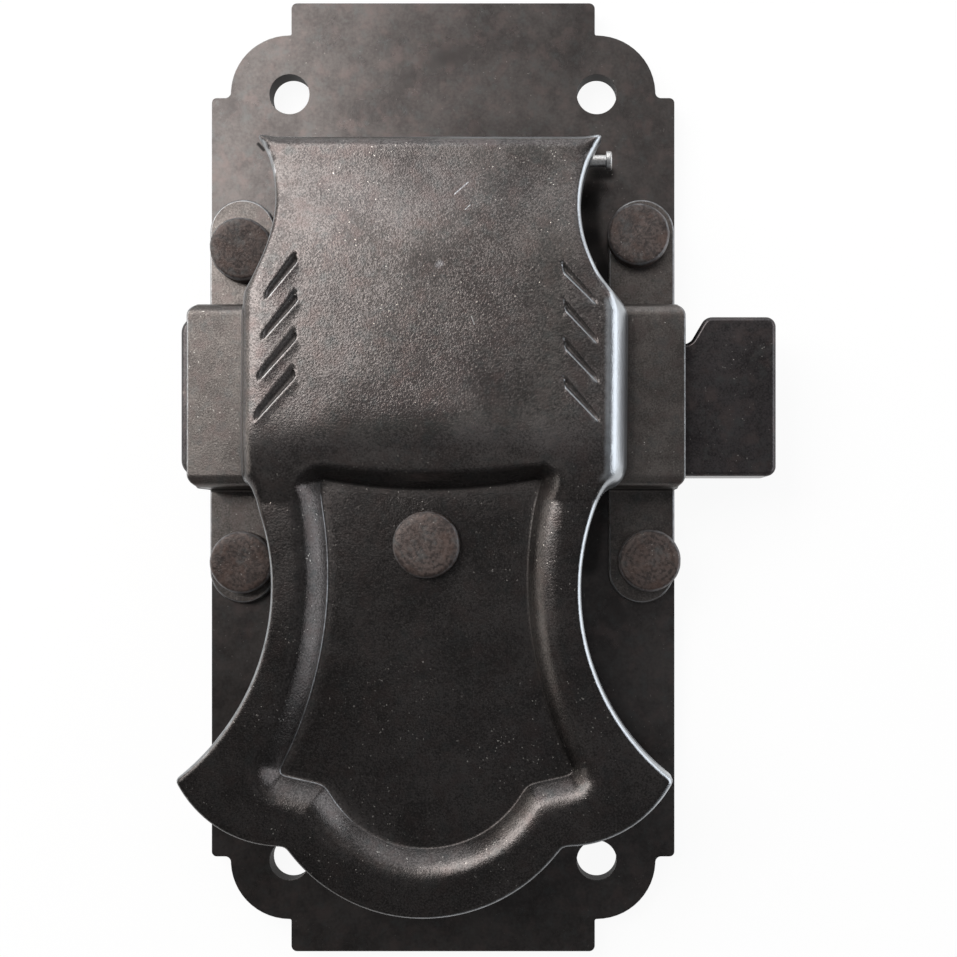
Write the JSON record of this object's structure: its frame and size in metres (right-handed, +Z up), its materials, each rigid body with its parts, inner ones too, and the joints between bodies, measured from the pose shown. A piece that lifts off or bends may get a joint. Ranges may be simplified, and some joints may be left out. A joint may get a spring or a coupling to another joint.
{
  "type": "cabinet lock",
  "caption": "Surface-mounted cabinet lock: a hinged pressed lever on a steel plate draws a sliding bolt through riveted keeper straps.",
  "frame": {"origin": "centre of the plate's back face, the face that lies on the door", "axes": "+Y into the door, so the front faces -Y; +Z up along the plate towards the lever's hinge; +X to the right, where the bolt's nose leaves"},
  "size_m": [0.0904, 0.0205, 0.15],
  "materials": {
    "plate_steel": "black-brown oxidised sheet, satin, faint orange-peel grain",
    "strap_steel": "black-brown oxidised sheet, satin, edges rubbed bright",
    "lever_steel": "black-brown oxidised pressed sheet, orange-peel grain with pale specks, worn contour",
    "rivet_steel": "brown-grey hammered heads, matt",
    "bolt_steel": "black-brown oxidised bar, rubbed edges",
    "cam_steel": "oxidised forged steel with a rubbed working face",
    "pin_steel": "drawn wire steel, dulled",
    "spring_steel": "oiled spring wire"
  },
  "bodies": {
    "base": {"base_plate": "plate_steel", "left_keeper": "strap_steel", "right_keeper": "strap_steel", "left_upper_rivet": "rivet_steel", "left_lower_rivet": "rivet_steel", "right_upper_rivet": "rivet_steel", "right_lower_rivet": "rivet_steel", "hinge_bracket": "strap_steel", "left_bracket_rivet": "rivet_steel", "right_bracket_rivet": "rivet_steel", "hinge_pin": "pin_steel", "spring_post": "pin_steel", "bolt_spring": "spring_steel"},
    "lever": {"lever": "lever_steel", "draw_cam": "cam_steel", "cam_rivet": "rivet_steel"},
    "bolt": {"bolt": "bolt_steel"}
  },
  "joints": [
    {"name": "lever_hinge", "type": "hinge", "parent": "base", "child": "lever", "pos_m": [0, -0.0098, 0.048], "axis": [-1, 0, 0], "range_deg": [0, 20]},
    {"name": "bolt_slide", "type": "slide", "parent": "base", "child": "bolt", "axis": [-1, 0, 0], "range_m": [0, 0.0134], "stiffness_N_per_m": 1250, "springref_m": -0.004, "deforming": ["bolt_spring"]}
  ],
  "couplings": [
    {"joint": "bolt_slide", "follows": "lever_hinge", "m_per_rad": 0.03836}
  ]
}
